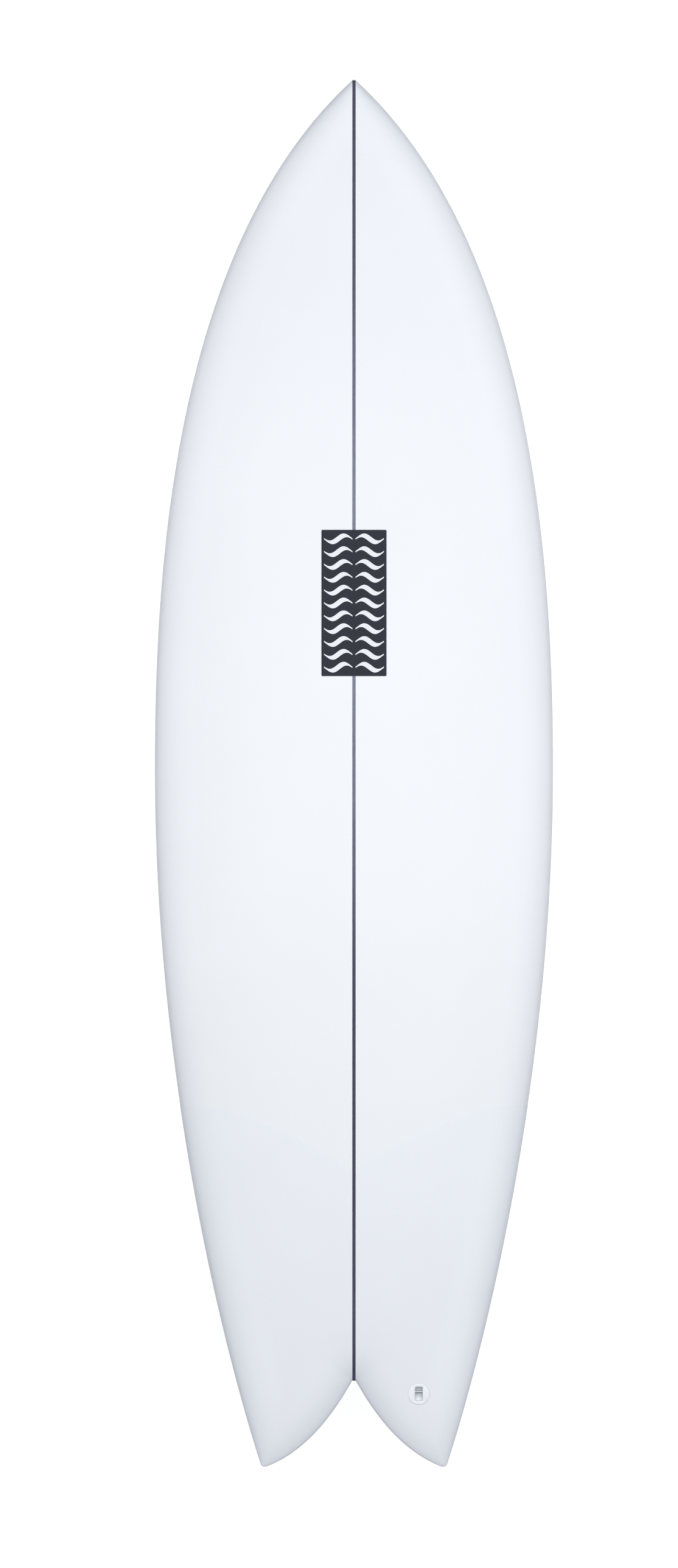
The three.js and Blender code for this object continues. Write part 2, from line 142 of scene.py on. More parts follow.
# The resting pose: tipped nose down until the fin tips and the belly share one level
REST_TIP = math.radians(6.000678)
REST_SHIFT = Vector((0.0, -0.893596, 0.121604))
REST = Matrix.Translation(REST_SHIFT) @ Matrix.Rotation(-REST_TIP, 4, "X")

# The view from straight above the deck, through a long lens
VIEW_LENGTH = 2015.0
VIEW_MIDDLE = (-19.2, 876.7, 30.0)
VIEW_DISTANCE = 24000.0
SENSOR = 36.0

# Floor, walls and light, in metres
FLOOR_REACH = 90.0
FLOOR_DROP = 0.0005
LIT_HALF = (0.5, 1.15)
SHADOW_UNDER_HALF = (0.2, 0.8)
GLOW_FAR = 0.58
GLOW_NEAR = 0.27
GLOW_FADE = 1.5
GLOW_LOST_UNDER = 0.5
WALLS = [(0.02, (0.61, 0.61, 0.61)), (0.07, (0.114, 0.117, 0.12))]
SOFTBOX_AT = (0.15, 1.05, 2.6)
SOFTBOX_SIZE = 2.43
SOFTBOX_POWER = 75.2


# ---------------------------------------------------------------- board shape


def bezier_table(points, count=3000):
    """A dense (x, y) table along a Bezier curve of any degree."""
    t = np.linspace(0, 1, count)[:, None]
    level = [np.array(p, float) + 0 * t for p in points]
    while len(level) > 1:
        level = [a * (1 - t) + b * t for a, b in zip(level, level[1:])]
    return level[0]


aft_outline = bezier_table([
    (TAIL_HALF, 0),
    (TAIL_HALF + TAIL_PULL * math.sin(TAIL_ANGLE), TAIL_PULL * math.cos(TAIL_ANGLE)),
    (HALF_WIDTH, WIDE_POINT - WIDE_PULL_BACK),
    (HALF_WIDTH, WIDE_POINT),
])
fore_outline = bezier_table([
    (HALF_WIDTH, WIDE_POINT),
    (HALF_WIDTH, WIDE_POINT + WIDE_PULL_FORWARD),
    (
        NOSE_TIP_HALF + NOSE_PULL * math.sin(NOSE_ANGLE),
        LENGTH - NOSE_PULL * math.cos(NOSE_ANGLE),
    ),
    (NOSE_TIP_HALF, LENGTH),
])
outline = np.vstack([aft_outline, fore_outline[1:]])
notch = bezier_table([(NOTCH_TIP_HALF, 0), NOTCH_BOW, (NOTCH_END_HALF, NOTCH_DEPTH)], 400)
notch_end = np.array([(x, NOTCH_DEPTH) for x in np.linspace(NOTCH_END_HALF, 0, 12)])
notch_edge = np.vstack([notch, notch_end])


def outline_x(y):
    return float(np.interp(y, outline[:, 1], outline[:, 0]))


def along(values, y):
    tail, middle, nose = values
    if y < THICK_POINT:
        return middle + (tail - middle) * min(max(1 - y / THICK_POINT, 0), 1) ** 2
    return middle + (nose - middle) * (y - THICK_POINT) / (LENGTH - THICK_POINT)


def rocker(y):
    if y > FLAT_END:
        return NOSE_ROCKER * ((y - FLAT_END) / (LENGTH - FLAT_END)) ** 2.4
    if y < FLAT_START:
        return TAIL_ROCKER * ((FLAT_START - y) / FLAT_START) ** 1.9
    return 0.0


def thickness(y):
    end = NOSE_THICKNESS if y > THICK_POINT else TAIL_THICKNESS
    reach = LENGTH - THICK_POINT if y > THICK_POINT else THICK_POINT
    return THICKNESS + (end - THICKNESS) * (abs(y - THICK_POINT) / reach) ** 2.05


def rail_z(y):
    return rocker(y) + along(RAIL_HEIGHT, y) * thickness(y)


def outer_edge(y, depth):
    slope = (outline_x(min(y + 1, LENGTH)) - outline_x(max(y - 1, 0))) / 2
    rounding = min(max(1 - (y - depth) / TIP_ROUND, 0), 1)
    rounded_off = TIP_ROUND * (1 - math.sqrt(1 - rounding * rounding))
    return outline_x(y) - depth * math.hypot(1, slope) - rounded_off


def inner_edge(y, depth, slot=SLOT_HALF):
    if y > NOTCH_DEPTH + depth - 1e-6:
        return slot
    return float(np.interp(y - depth, notch[:, 1], notch[:, 0])) + 0.5 * depth


def notch_distance(x, y):
    here = np.stack([np.abs(x), np.full_like(x, y)], 1)
    return np.sqrt(((here[:, None, :] - notch_edge[None]) ** 2).sum(2)).min(1)


def round_over(distance, radius):
    """Rises from 0 at an edge to 1 a radius in from it, as a quarter circle does."""
    rest = 1 - np.clip(np.asarray(distance) / radius, 0, 1)
    return np.sqrt(1 - rest * rest)


def end_round(y, depth):
    return float(round_over(y - depth, END_RADIUS) * round_over(LENGTH - depth - y, END_RADIUS))


def deck_z(x, y, depth):
    x = np.asarray(x, float)
    share = np.clip(np.abs(x) / outer_edge(y, depth), 0, 1)
    fall = np.sqrt(1 - share ** along(DECK_CROWN, y))
    near = notch_distance(x, y)
    roll = 1 - NOTCH_ROLL_DROP * np.exp(-((near / NOTCH_ROLL) ** NOTCH_ROLL_POWER))
    crown = (1 - along(RAIL_HEIGHT, y)) * thickness(y) * roll - depth
    edge = round_over(np.maximum(near - depth, 0), DECK_EDGE_RADIUS)
    return rail_z(y) + crown * fall * edge * end_round(y, depth)


def deck_at(x, y):
    return float(deck_z([x], y, 0)[0])


def bottom_z(x, y, depth):
    x = np.asarray(x, float)
    share = np.clip(np.abs(x) / outer_edge(y, depth), 0, 1)
    fall = np.sqrt(1 - share ** along(BOTTOM_FLATNESS, y))
    drop = along(RAIL_HEIGHT, y) * thickness(y) - depth
    edge = round_over(np.maximum(notch_distance(x, y) - depth, 0), BOTTOM_EDGE_RADIUS)
    return rail_z(y) - drop * fall * edge * end_round(y, depth)


# ------------------------------------------------------------- mesh helpers


def place(points):
    """Millimetres on the level board to metres in the resting pose."""
    return [REST @ (Vector(p) * 0.001) for p in points]


def add_object(name, points, faces, smooth_angle=35):
    mesh = bpy.data.meshes.new(name)
    mesh.from_pydata(place(points), [], faces)
    mesh.validate()
    made = bpy.data.objects.new(name, mesh)
    bpy.context.scene.collection.objects.link(made)
    finish_normals(made, smooth_angle)
    return made


def finish_normals(made, smooth_angle):
    """Turns faces outwards and shades them smooth below an edge angle."""
    bm = bmesh.new()
    bm.from_mesh(made.data)
    bmesh.ops.remove_doubles(bm, verts=bm.verts, dist=2e-6)
    bmesh.ops.recalc_face_normals(bm, faces=bm.faces)
    limit = math.radians(smooth_angle)
    for edge in bm.edges:
        if len(edge.link_faces) == 2 and edge.calc_face_angle(0) > limit:
            edge.smooth = False
    for face in bm.faces:
        face.smooth = True
    bm.to_mesh(made.data)
    bm.free()


def combine(target, other, operation, smooth_angle=35):
    """Cuts the other solid out of the target or joins it on, then removes the other."""
    modifier = target.modifiers.new("cut", "BOOLEAN")
    modifier.operation = operation
    modifier.solver = "EXACT"
    modifier.object = other
    graph = bpy.context.evaluated_depsgraph_get()
    result = bpy.data.meshes.new_from_object(target.evaluated_get(graph))
    target.modifiers.clear()
    target.data = result
    bpy.data.objects.remove(other)
    finish_normals(target, smooth_angle)


def mirrored(points, faces):
    """Points and faces of a half together with their mirror image."""
    count = len(points)
    flipped = [(-x, y, z) for x, y, z in points]
    turned = [tuple(i + count for i in reversed(face)) for face in faces]
    return list(points) + flipped, list(faces) + turned


def shell_between(outer, inner):
    """A closed thin shell between two grids, split along the same diagonals so they can't cross."""
    rows, columns = outer.shape[:2]
    points = [tuple(p) for p in outer.reshape(-1, 3)] + [tuple(p) for p in inner.reshape(-1, 3)]
    under = rows * columns
    faces = []
    for r in range(rows - 1):
        for c in range(columns - 1):
            a = r * columns + c
            for corners in ((a, a + 1, a + 1 + columns), (a, a + 1 + columns, a + columns)):
                faces.append(corners)
                faces.append(tuple(i + under for i in reversed(corners)))
    rim = list(range(columns))
    rim += [r * columns + columns - 1 for r in range(1, rows)]
    rim += [(rows - 1) * columns + c for c in range(columns - 2, -1, -1)]
    rim += [r * columns for r in range(rows - 2, 0, -1)]
    for i, j in zip(rim, rim[1:] + rim[:1]):
        faces.append((j, i, i + under, j + under))
    return points, faces


def tube_of(rings):
    """A solid through rings of equal point counts, closed at both ends."""
    count = len(rings[0])
    points = [tuple(p) for ring in rings for p in ring]
    faces = []
    for r in range(len(rings) - 1):
        for i in range(count):
            j = (i + 1) % count
            a, b = r * count + i, r * count + j
            faces.append((a, b, b + count, a + count))
    faces.append(tuple(reversed(range(count))))
    last = (len(rings) - 1) * count
    faces.append(tuple(range(last, last + count)))
    return points, faces


def lathe(profile, matrix, segments=48):
    """A solid turned round the local Z axis from (radius, height) pairs."""
    rings = []
    for radius, height in profile:
        ring = []
        for i in range(segments):
            turn = 2 * math.pi * i / segments
            spot = Vector((radius * math.cos(turn), radius * math.sin(turn), height))
            ring.append(tuple(matrix @ spot))
        rings.append(ring)
    return tube_of(rings)


def rounded_rectangle(width, length, corner, steps=8):
    outline_points = []
    for k, (sx, sy) in enumerate(((1, 1), (-1, 1), (-1, -1), (1, -1))):
        for i in range(steps + 1):
            turn = math.pi / 2 * (k + i / steps)
            x = sx * (width / 2 - corner) + corner * math.cos(turn)
            y = sy * (length / 2 - corner) + corner * math.sin(turn)
            outline_points.append((x, y))
    return outline_points


def prism(outline_points, low, high, matrix):
    rings = []
    for height in (low, high):
        rings.append([tuple(matrix @ Vector((x, y, height))) for x, y in outline_points])
    return tube_of(rings)


def mark_edges(made):
    """Stores each point's distance from the rail or the notch edge, in millimetres."""
    level = REST.inverted()
    at = np.array([(level @ v.co)[:2] for v in made.data.vertices]) * 1000
    at[:, 0] = np.abs(at[:, 0])
    line = np.vstack([outline[::12], notch_edge[::4], notch_edge[-1:]])
    nearest = np.full(len(at), 1e9)
    for chunk in np.array_split(line, 12):
        apart = ((at[:, None, :] - chunk[None]) ** 2).sum(2).min(1)
        nearest = np.minimum(nearest, apart)
    stored = made.data.attributes.new("edge_mm", "FLOAT", "POINT")
    stored.data.foreach_set("value", np.sqrt(nearest).astype(np.float32))


# -------------------------------------------------------------- board pieces


def sine_steps(count, power):
    return np.sin(np.pi / 2 * np.linspace(0, 1, count + 1)) ** power


near_inner = [0.0015, 0.004, 0.008, 0.014, 0.022, 0.035, 0.055, 0.085]
deck_steps = np.unique(np.round(np.concatenate([near_inner, sine_steps(40, 0.8)]), 5))
bottom_steps = np.unique(
    np.round(np.concatenate([near_inner, [0.15, 0.25, 0.35], sine_steps(26, 0.35)]), 5)
)
fine_start = [0, 0.06, 0.25, 0.6, 1.0, 1.6, 2.3, 3.0, 4.0, 5.5, 7.5]
lobe_rows = np.concatenate([
    fine_start,
    np.linspace(10, NOTCH_DEPTH - 9, 22),
    NOTCH_DEPTH - np.array([6.5, 4.5, 3.0, 2.0, 1.2, 0.7, 0.3, 0.12]),
])
body_rows = np.concatenate([
    NOTCH_DEPTH + np.array([0, 0.12, 0.3, 0.7, 1.2, 2.0, 3.0, 4.2, 6.0, 8.5]),
    np.linspace(NOTCH_DEPTH + 12, NOTCH_DEPTH + 72, 13),
    np.linspace(NOTCH_DEPTH + 80, LENGTH - 60, 126),
    LENGTH - np.array([52, 45, 38, 31, 25, 20, 15, 11, 8, 5.5, 4, 3, 2.2, 1.5, 0.9, 0.4, 0.1, 0]),
])
rows = np.concatenate([lobe_rows, body_rows])


def shifted_row(y, depth):
    """Where a row goes on a surface this deep inside the board."""
    if y < NOTCH_DEPTH:
        return y + depth
    share = (y - NOTCH_DEPTH) / (LENGTH - NOTCH_DEPTH)
    return NOTCH_DEPTH + depth + share * (LENGTH - NOTCH_DEPTH - 2 * depth)


def half_grid(height, steps, depth, places=rows, slot=SLOT_HALF):
    """A grid over half the deck or bottom: a row per place, a column per step to the rail."""
    grid = []
    for place_y in places:
        y = shifted_row(place_y, depth)
        inner, outer = inner_edge(y, depth, slot), outer_edge(y, depth)
        inner = min(inner, outer - 0.05)
        x = inner + (outer - inner) * steps
        z = height(x, y, depth)
        grid.append(np.stack([x, np.full_like(x, y), z], 1))
    return np.array(grid)


def skin(name, height, steps):
    outer = half_grid(height, steps, SKIN_TOP)
    inner = half_grid(height, steps, SKIN_UNDER)
    points, faces = mirrored(*shell_between(outer, inner))
    return add_object(name, points, faces)


def foam_half(name, side):
    """Half of the foam blank: one loop per row round deck and bottom."""
    slot = SLOT_HALF + 0.2
    deck = half_grid(deck_z, deck_steps[::2], FOAM_TOP, rows[::2], slot)
    bottom = half_grid(bottom_z, bottom_steps[::2], FOAM_TOP, rows[::2], slot)
    rings = [np.vstack([d, b[::-1][1:]]) for d, b in zip(deck, bottom)]
    rings = [[(side * x, y, z) for x, y, z in ring] for ring in rings]
    points, faces = tube_of(rings)
    return add_object(name, points, faces)


def stringer():
    rings = []
    for place_y in body_rows:
        y = shifted_row(place_y, STRINGER_TOP)
        half = min(STRINGER_HALF, outer_edge(y, STRINGER_TOP) - 0.1)
        top = float(deck_z([half], y, STRINGER_TOP)[0])
        low = float(bottom_z([half], y, STRINGER_TOP)[0])
        top = max(top, low + 0.4)
        rings.append([(-half, y, low), (half, y, low), (half, y, top), (-half, y, top)])
    points, faces = tube_of(rings)
    return add_object("stringer_fine", points, faces)


def patch_edge(x):
    share = min(abs(x) / PATCH_EDGE_HALF, 1)
    return PATCH_EDGE_AT_RAIL + (PATCH_EDGE_AT_CENTRE - PATCH_EDGE_AT_RAIL) * (1 - share) ** 1.5


def patch_grid(depth):
    """The tail half of the deck, whose last rows fan out to the patch's winged front edge."""
    straight = [y for y in rows if y < PATCH_EDGE_AT_CENTRE - 6]
    grid = [row for row in half_grid(deck_z, deck_steps, depth, straight)]
    start = grid[-1][:, 1]
    for share in np.linspace(0, 1, 9)[1:]:
        row = []
        for c, step in enumerate(deck_steps):
            y = PATCH_EDGE_AT_CENTRE
            for _ in range(6):
                outer = outer_edge(y, depth)
                x = SLOT_HALF + (outer - SLOT_HALF) * step
                y = start[c] + (patch_edge(x) - start[c]) * share
            outer = outer_edge(y, depth)
            x = SLOT_HALF + (outer - SLOT_HALF) * step
            row.append((x, y, float(deck_z([x], y, depth)[0])))
        grid.append(np.array(row))
    return np.array(grid)


def deck_patch():
    points, faces = mirrored(*shell_between(patch_grid(PATCH_TOP), patch_grid(PATCH_UNDER)))
    return add_object("deck_patch_cloth", points, faces)


def label_grid(depth):
    corner_rows = LABEL_CORNER * (1 - np.cos(np.linspace(0, np.pi / 2, 6)))
    half = LABEL_LENGTH / 2
    local = np.concatenate([
        -half + corner_rows,
        np.linspace(-half + 4, half - 4, 60),
        half - corner_rows[::-1],
    ])
    grid = []
    for along_y in local:
        in_from_end = half - abs(along_y)
        rest = 1 - min(in_from_end / LABEL_CORNER, 1)
        half_x = LABEL_WIDTH / 2 - LABEL_CORNER * (1 - math.sqrt(1 - rest * rest))
        x = np.linspace(-half_x, half_x, 41)
        y = LABEL_Y + along_y
        grid.append(np.stack([x, np.full_like(x, y), deck_z(x, y, depth)], 1))
    return np.array(grid)


def surface_frame(x, y):
    """A frame on the deck whose Z points straight out of it and Y towards the nose."""

    def rise(dx, dy):
        return deck_at(x + dx, y + dy) - deck_at(x - dx, y - dy)

    normal = Vector((-rise(1, 0), -rise(0, 1), 2)).normalized()
    across = Vector((0, 1, 0)).cross(normal).normalized()
    forward = normal.cross(across)
    turn = Matrix((across, forward, normal)).transposed().to_4x4()
    return Matrix.Translation((x, y, deck_at(x, y))) @ turn


plug_frame = surface_frame(*PLUG)
pin_frame = (
    plug_frame
    @ Matrix.Translation((0, PIN_Y, -PIN_DEPTH))
    @ Matrix.Rotation(math.pi / 2, 4, "Y")
)


def leash_cup():
    profile = [
        (PLUG_BODY_RADIUS - 0.8, -PLUG_DEPTH),
        (PLUG_BODY_RADIUS, -PLUG_DEPTH + 0.8),
        (PLUG_BODY_RADIUS, -2.1),
        (PLUG_RIM_RADIUS - 0.2, -2.0),
        (PLUG_RIM_RADIUS, -1.8),
        (PLUG_RIM_RADIUS, -0.45),
        (PLUG_RIM_RADIUS - 0.12, -0.2),
        (PLUG_RIM_RADIUS - 0.4, -0.04),
        (PLUG_RIM_RADIUS - 0.8, 0.0),
    ]
    cup = add_object("leash_cup_fine", *lathe(profile, plug_frame, 96))
    width, length, corner, depth = PLUG_SLOT
    rings = []
    for grow, height in ((0, -depth), (0, -0.5), (0.15, -0.2), (0.5, 0.0), (0.5, 4.0)):
        plan = rounded_rectangle(width + 2 * grow - 0.2, length + 2 * grow - 0.2, corner + grow, 10)
        rings.append([tuple(plug_frame @ Vector((x, y, height))) for x, y in plan])
    combine(cup, add_object("cutter", *tube_of(rings)), "DIFFERENCE")
    bore = [(PIN_RADIUS + 0.2, -PIN_LENGTH / 2 - 0.2), (PIN_RADIUS + 0.2, PIN_LENGTH / 2 + 0.2)]
    combine(cup, add_object("cutter", *lathe(bore, pin_frame, 32)), "DIFFERENCE")
    return cup


def chamfered(radius, low, high, chamfer):
    return [(radius - chamfer, low), (radius, low + chamfer), (radius, high - chamfer),
            (radius - chamfer, high)]


def leash_pin():
    profile = chamfered(PIN_RADIUS, -PIN_LENGTH / 2, PIN_LENGTH / 2, 0.3)
    return add_object("leash_pin_fine", *lathe(profile, pin_frame, 40))


def fin_rise():
    """How far the bottom rises from just behind the fin's middle to just before it."""
    return rocker(FIN_PLACE[1] + FIN_PITCH_STEP) - rocker(FIN_PLACE[1] - FIN_PITCH_STEP)


def fin_frame():
    pitch = math.atan2(fin_rise(), 2 * FIN_PITCH_STEP)
    return (
        Matrix.Translation((FIN_PLACE[0], FIN_PLACE[1], rocker(FIN_PLACE[1])))
        @ Matrix.Rotation(FIN_TOE, 4, "Z")
        @ Matrix.Rotation(pitch, 4, "X")
        @ Matrix.Rotation(-FIN_CANT, 4, "Y")
    )


right_fin = fin_frame()
SIDES = {"right": Matrix.Identity(4), "left": Matrix.Scale(-1, 4, (1, 0, 0))}


def fin(side):
    """A foiled keel blade with the tab that goes into its box."""
    base = SIDES[side] @ right_fin
    leading = bezier_table(FIN_LEADING, FIN_SAMPLES)
    trailing = bezier_table(FIN_TRAILING, FIN_SAMPLES)
    slope = fin_rise() / (2 * FIN_PITCH_STEP)
    rings = []
    for k in range(FIN_SPANS + 1):
        share = 0.012 + 0.988 * math.sin(math.pi / 2 * k / FIN_SPANS) ** 1.2
        pick = min(int(share * (FIN_SAMPLES - 1)), FIN_SAMPLES - 1)
        front, back = Vector(leading[pick]), Vector(trailing[pick])
        width = (FIN_ROOT + (FIN_TIP - FIN_ROOT) * share) * math.sqrt(1.0004 - share ** 14)
        ring = []
        for i in range(2 * FIN_CHORDS):
            chord = (1 - math.cos(math.pi * i / FIN_CHORDS)) / 2
            facing = FIN_OUTER_SHARE if i < FIN_CHORDS else FIN_OUTER_SHARE - 1
            swell = 2.49 * math.sqrt(chord) * (1 - chord) ** 0.9 + 0.05
            spot = front.lerp(back, chord)
            x, z = facing * width * swell, spot.y * 0.998
            if k == 0:
                y = FIN_PLACE[1] + spot.x
                bottom = rocker(y) - rocker(FIN_PLACE[1]) - slope * spot.x
                z = bottom - x * math.tan(FIN_CANT) - ROOT_GAP
            ring.append(tuple(base @ Vector((x, spot.x, z))))
        rings.append(ring)
    blade = add_object(f"fin_{side}_blade", *tube_of(rings))
    width, length, depth = TAB
    plan = rounded_rectangle(width, length, width / 2 - 0.01, 8)
    tab = add_object("tab", *prism(plan, -1.6, depth, base))
    combine(blade, tab, "UNION")
    return blade


def screw_frame(side, end):
    return (
        SIDES[side]
        @ right_fin
        @ Matrix.Translation((SCREW_X, end * SCREW_Y, 0))
        @ Matrix.Rotation(SCREW_LEAN, 4, "Y")
    )


def grub_screw(side, end, name):
    """A socket set screw with thread ridges and a hexagonal socket."""
    base = screw_frame(side, end)
    low, high = SCREW_SPAN
    profile = [(SCREW_RADIUS - 0.45, low), (SCREW_RADIUS - 0.05, low + 0.35)]
    pitch = 0.8
    turns = int((high - low - 1.2) / pitch)
    for i in range(turns):
        start = low + 0.5 + i * pitch
        profile += [(SCREW_RADIUS - 0.32, start), (SCREW_RADIUS - 0.02, start + pitch / 2)]
    profile += [(SCREW_RADIUS - 0.4, high - 0.5), (SCREW_RADIUS - 0.9, high)]
    screw = add_object(f"{name}_fine", *lathe(profile, base, 40))
    radius, depth = SOCKET
    hexagon = [(radius * math.cos(a), radius * math.sin(a))
               for a in (math.pi / 3 * i for i in range(6))]
    socket = add_object("cutter", *prism(hexagon, low - 2, low + depth, base))
    combine(screw, socket, "DIFFERENCE")
    return screw


# ------------------------------------------------------------------ materials


# Painted shade on the skins, by share of this width in from the rail or notch edge: greyer towards
# the edges, partly for the real cloth laps and partly as painted shade of the rounding rails, and
# slightly darker again further in
LAP_AND_SHADE_WIDTH = 90.0
LAP_AND_PAINTED_SHADE = [
    (0.0, (0.8, 0.81, 0.825)),
    (0.035, (0.855, 0.864, 0.879)),
    (0.07, (0.913, 0.92, 0.93)),
    (0.11, (0.941, 0.948, 0.956)),
    (0.17, (0.963, 0.968, 0.973)),
    (0.25, (0.987, 0.99, 0.993)),
    (0.35, (1, 1, 1)),
    (0.48, (1, 1, 1)),
    (0.67, (0.98, 0.98, 0.98)),
    (1.0, (0.97, 0.97, 0.97)),
]

# Painted shade on the skins, by share of the length from the nose: darker at the nose and over most
# of the rear third
LENGTH_PAINTED_SHADE = [
    (0.0, (0.93, 0.935, 0.95)),
    (0.085, (0.96, 0.962, 0.97)),
    (0.28, (1, 1, 1)),
    (0.56, (1, 1, 1)),
    (0.68, (0.985, 0.985, 0.985)),
    (0.8, (0.978, 0.978, 0.978)),
    (0.9, (0.985, 0.985, 0.985)),
    (1.0, (1, 1, 1)),
]


class Finish:
    """A procedural material: a Principled shader and short ways to feed it."""

    def __init__(self, name, roughness=0.5, metallic=0.0, coat=0.0, coat_roughness=0.05):
        self.material = bpy.data.materials.new(name)
        self.material.use_nodes = True
        self.nodes = self.material.node_tree.nodes
        self.links = self.material.node_tree.links
        self.shader = self.nodes["Principled BSDF"]
        self.shader.inputs["Roughness"].default_value = roughness
        self.shader.inputs["Metallic"].default_value = metallic
        self.shader.inputs["Coat Weight"].default_value = coat
        self.shader.inputs["Coat Roughness"].default_value = coat_roughness
        self.where = self.nodes.new("ShaderNodeTexCoord").outputs["Object"]

    def stretched(self, scale, turn=(0, 0, 0)):
        mapping = self.nodes.new("ShaderNodeMapping")
        mapping.inputs["Scale"].default_value = scale
        mapping.inputs["Rotation"].default_value = turn
        self.links.new(self.where, mapping.inputs["Vector"])
        return mapping.outputs["Vector"]

    def noise(self, scale, detail=3.0, rough=0.5, vector=None):
        node = self.nodes.new("ShaderNodeTexNoise")
        node.inputs["Scale"].default_value = scale
        node.inputs["Detail"].default_value = detail
        node.inputs["Roughness"].default_value = rough
        self.links.new(vector or self.where, node.inputs["Vector"])
        return node.outputs["Fac"]

    def wave(self, scale, direction="X", distortion=0.0, vector=None):
        node = self.nodes.new("ShaderNodeTexWave")
        node.bands_direction = direction
        node.inputs["Scale"].default_value = scale
        node.inputs["Distortion"].default_value = distortion
        self.links.new(vector or self.where, node.inputs["Vector"])
        return node.outputs["Fac"]

    def math(self, operation, first, second=0.0, third=0.0):
        node = self.nodes.new("ShaderNodeMath")
        node.operation = operation
        for socket, value in zip(node.inputs, (first, second, third)):
            if isinstance(value, (int, float)):
                socket.default_value = value
            else:
                self.links.new(value, socket)
        return node.outputs[0]

    def axis(self, name, vector=None):
        node = self.nodes.new("ShaderNodeSeparateXYZ")
        self.links.new(vector or self.where, node.inputs[0])
        return node.outputs[name]

    def ramp(self, value, stops):
        node = self.nodes.new("ShaderNodeValToRGB")
        elements = node.color_ramp.elements
        while len(elements) < len(stops):
            elements.new(0.5)
        for element, (position, color) in zip(elements, stops):
            element.position = position
            element.color = (*color, 1)
        self.links.new(value, node.inputs[0])
        return node.outputs["Color"]

    def mix(self, share, first, second):
        node = self.nodes.new("ShaderNodeMix")
        node.data_type = "RGBA"
        for index, value in ((0, share), (6, first), (7, second)):
            socket = node.inputs[index]
            if isinstance(value, tuple):
                socket.default_value = (*value, 1)
            elif isinstance(value, (int, float)):
                socket.default_value = value
            else:
                self.links.new(value, socket)
        return node.outputs[2]

    def multiply(self, first, second):
        node = self.nodes.new("ShaderNodeMix")
        node.data_type = "RGBA"
        node.blend_type = "MULTIPLY"
        node.inputs[0].default_value = 1.0
        self.links.new(first, node.inputs[6])
        self.links.new(second, node.inputs[7])
        return node.outputs[2]

    def color(self, value):
        self.links.new(value, self.shader.inputs["Base Color"])

    def roughness(self, value, low, high):
        node = self.nodes.new("ShaderNodeMapRange")
        node.inputs["To Min"].default_value = low
        node.inputs["To Max"].default_value = high
        self.links.new(value, node.inputs["Value"])
        self.links.new(node.outputs[0], self.shader.inputs["Roughness"])

    def bump(self, height, strength, distance=0.0002):
        node = self.nodes.new("ShaderNodeBump")
        node.inputs["Strength"].default_value = strength
        node.inputs["Distance"].default_value = distance
        self.links.new(height, node.inputs["Height"])
        self.links.new(node.outputs[0], self.shader.inputs["Normal"])


def skin_finish(name, tint):
    """Foam seen through clear resin: near white, faintly mottled, greyer towards the edges where
    cloth overlaps, with painted shade there and along the length.
    """
    finish = Finish(name)
    finish.shader.inputs["Specular IOR Level"].default_value = 0.2
    dark = tuple(c * 0.975 for c in tint)
    cloudy = finish.noise(7.0, 4.0)
    grains = finish.noise(420.0, 2.0)
    share = finish.math("MULTIPLY_ADD", grains, 0.35, finish.math("MULTIPLY", cloudy, 0.65))
    clear = finish.ramp(share, [(0.3, dark), (0.7, tint)])
    # Painted shade by distance from the edge, partly the grey of lapped cloth
    edge = finish.nodes.new("ShaderNodeAttribute")
    edge.attribute_name = "edge_mm"
    inward = finish.math("DIVIDE", edge.outputs["Fac"], LAP_AND_SHADE_WIDTH)
    lapped_and_shaded = finish.multiply(clear, finish.ramp(inward, LAP_AND_PAINTED_SHADE))
    # Painted shade along the length
    from_nose = finish.math("MULTIPLY_ADD", finish.axis("Y"), -1000 / LENGTH, 0.5)
    finish.color(finish.multiply(lapped_and_shaded, finish.ramp(from_nose, LENGTH_PAINTED_SHADE)))
    finish.roughness(finish.noise(90.0, 2.0), 0.3, 0.4)
    finish.bump(finish.noise(160.0, 2.0), 0.05)
    return finish.material


def foam_finish():
    finish = Finish("foam", roughness=0.9)
    cells = finish.noise(900.0, 3.0)
    finish.color(finish.ramp(cells, [(0.35, (0.72, 0.72, 0.69)), (0.6, (0.88, 0.88, 0.86))]))
    finish.roughness(cells, 0.8, 0.95)
    finish.bump(cells, 0.5, 0.0004)
    return finish.material


def stringer_finish():
    """Dark wood under resin, streaked along the board, paler towards its middle."""
    finish = Finish("stringer_wood")
    finish.shader.inputs["Specular IOR Level"].default_value = 0.1
    streaks = finish.noise(1.0, 5.0, 0.6, finish.stretched((900, 14, 60)))
    flecks = finish.noise(1.0, 4.0, 0.7, finish.stretched((400, 160, 100)))
    grain = finish.math("MULTIPLY_ADD", streaks, 0.6, finish.math("MULTIPLY", flecks, 0.4))
    length = finish.math("MULTIPLY_ADD", finish.axis("Y"), 0.5625, 0.5)
    base = finish.ramp(length, [
        (0.0, (0.08, 0.09, 0.145)),
        (0.2, (0.055, 0.06, 0.1)),
        (0.36, (0.06, 0.066, 0.108)),
        (0.52, (0.2, 0.21, 0.29)),
        (0.72, (0.215, 0.225, 0.31)),
        (0.86, (0.09, 0.09, 0.145)),
        (1.0, (0.06, 0.06, 0.105)),
    ])
    shade = finish.ramp(grain, [(0.3, (0.62, 0.6, 0.6)), (0.7, (1.25, 1.25, 1.25))])
    finish.color(finish.multiply(base, shade))
    finish.roughness(grain, 0.35, 0.5)
    return finish.material


